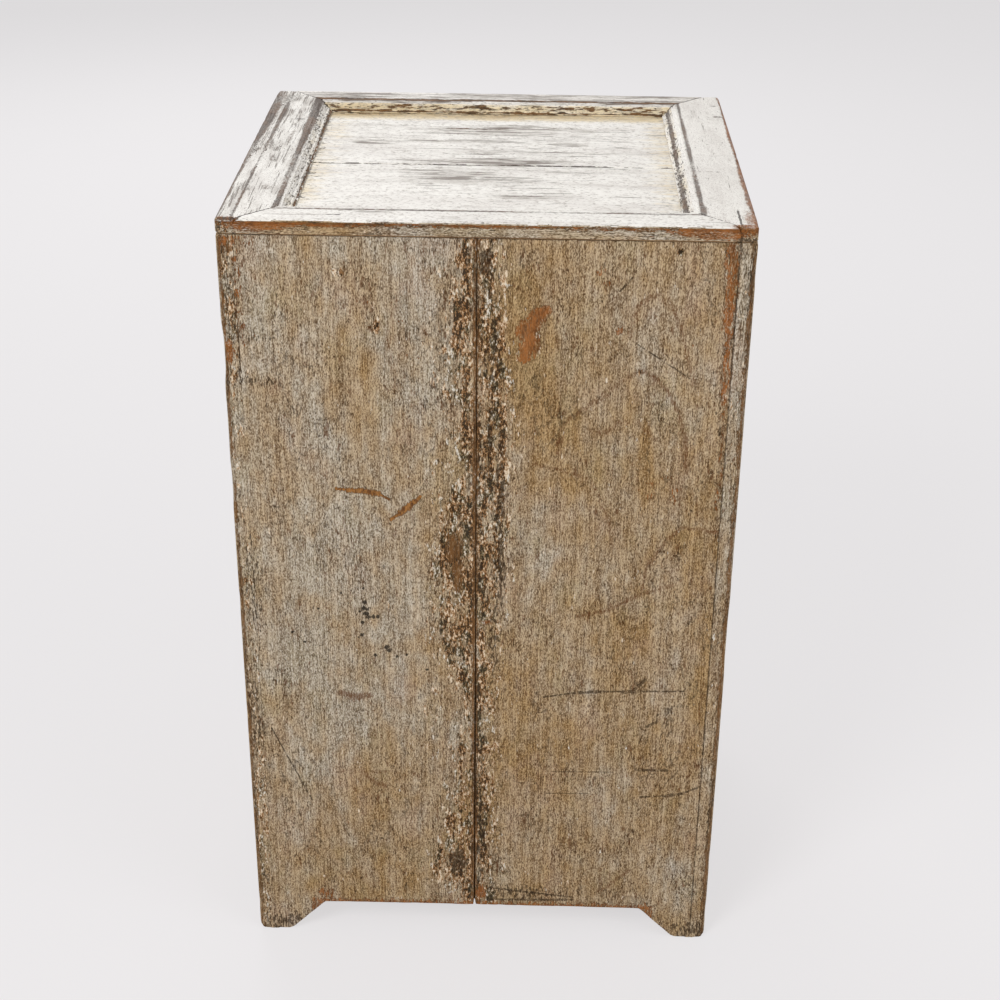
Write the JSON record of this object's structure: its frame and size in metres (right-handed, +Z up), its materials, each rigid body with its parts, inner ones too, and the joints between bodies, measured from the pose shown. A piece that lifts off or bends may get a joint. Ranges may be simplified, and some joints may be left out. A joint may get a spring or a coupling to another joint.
{
  "type": "chest of drawers",
  "caption": "Upright plank chest of drawers on bracket-cut feet, with a mitred, moulded frame round a sunk top panel, dovetailed drawers on runners and hanging ring pulls.",
  "frame": {"origin": "on the floor, at the middle of the carcase's footprint", "axes": "+Z up, drawers open towards -Y, +X to the right of someone who faces the drawers"},
  "size_m": [0.42, 0.3858, 0.702],
  "materials": {
    "wall_paint": "thin grey-cream paint, worn through to brown wood at seams and edges",
    "top_paint": "white paint, worn to bare wood on the mouldings",
    "bare_wood": "unpainted, aged and dry",
    "pull_brass": "dark aged brass"
  },
  "bodies": {
    "carcase": {"top_rail_front": "top_paint", "top_rail_back": "top_paint", "top_rail_right": "top_paint", "top_rail_left": "top_paint", "top_panel_front": "top_paint", "top_panel_back": "top_paint", "top_batten": "bare_wood", "back_plank_left": "wall_paint", "back_plank_right": "wall_paint", "side_right_front": "wall_paint", "side_right_back": "wall_paint", "side_left_front": "wall_paint", "side_left_back": "wall_paint", "front_rail_top": "wall_paint", "divider_1": "wall_paint", "divider_2": "wall_paint", "divider_3": "wall_paint", "front_apron": "wall_paint", "runners_right": "bare_wood", "runners_left": "bare_wood", "kickers": "bare_wood", "bottom_board": "bare_wood"},
    "drawer_1": {"drawer_1_front": "wall_paint", "drawer_1_side_left": "bare_wood", "drawer_1_side_right": "bare_wood", "drawer_1_back": "bare_wood", "drawer_1_bottom": "bare_wood", "drawer_1_pull_plate": "pull_brass", "drawer_1_pull_pin": "pull_brass"},
    "drawer_2": {"drawer_2_front": "wall_paint", "drawer_2_side_left": "bare_wood", "drawer_2_side_right": "bare_wood", "drawer_2_back": "bare_wood", "drawer_2_bottom": "bare_wood", "drawer_2_pull_plate": "pull_brass", "drawer_2_pull_pin": "pull_brass"},
    "drawer_3": {"drawer_3_front": "wall_paint", "drawer_3_side_left": "bare_wood", "drawer_3_side_right": "bare_wood", "drawer_3_back": "bare_wood", "drawer_3_bottom": "bare_wood", "drawer_3_pull_plate": "pull_brass", "drawer_3_pull_pin": "pull_brass"},
    "drawer_4": {"drawer_4_front": "wall_paint", "drawer_4_side_left": "bare_wood", "drawer_4_side_right": "bare_wood", "drawer_4_back": "bare_wood", "drawer_4_bottom": "bare_wood", "drawer_4_pull_plate": "pull_brass", "drawer_4_pull_pin": "pull_brass"},
    "ring_1": {"drawer_1_pull_ring": "pull_brass"},
    "ring_2": {"drawer_2_pull_ring": "pull_brass"},
    "ring_3": {"drawer_3_pull_ring": "pull_brass"},
    "ring_4": {"drawer_4_pull_ring": "pull_brass"}
  },
  "joints": [
    {"name": "drawer_1_slide", "type": "slide", "parent": "carcase", "child": "drawer_1", "axis": [0, -1, 0], "range_m": [0, 0.28]},
    {"name": "drawer_2_slide", "type": "slide", "parent": "carcase", "child": "drawer_2", "axis": [0, -1, 0], "range_m": [0, 0.28]},
    {"name": "drawer_3_slide", "type": "slide", "parent": "carcase", "child": "drawer_3", "axis": [0, -1, 0], "range_m": [0, 0.28]},
    {"name": "drawer_4_slide", "type": "slide", "parent": "carcase", "child": "drawer_4", "axis": [0, -1, 0], "range_m": [0, 0.28]},
    {"name": "ring_1_swing", "type": "hinge", "parent": "drawer_1", "child": "ring_1", "pos_m": [0, -0.19235, 0.59613], "axis": [-1, 0, 0], "range_deg": [0, 160]},
    {"name": "ring_2_swing", "type": "hinge", "parent": "drawer_2", "child": "ring_2", "pos_m": [0, -0.19235, 0.44038], "axis": [-1, 0, 0], "range_deg": [0, 160]},
    {"name": "ring_3_swing", "type": "hinge", "parent": "drawer_3", "child": "ring_3", "pos_m": [0, -0.19235, 0.28463], "axis": [-1, 0, 0], "range_deg": [0, 160]},
    {"name": "ring_4_swing", "type": "hinge", "parent": "drawer_4", "child": "ring_4", "pos_m": [0, -0.19235, 0.12887], "axis": [-1, 0, 0], "range_deg": [0, 160]}
  ]
}
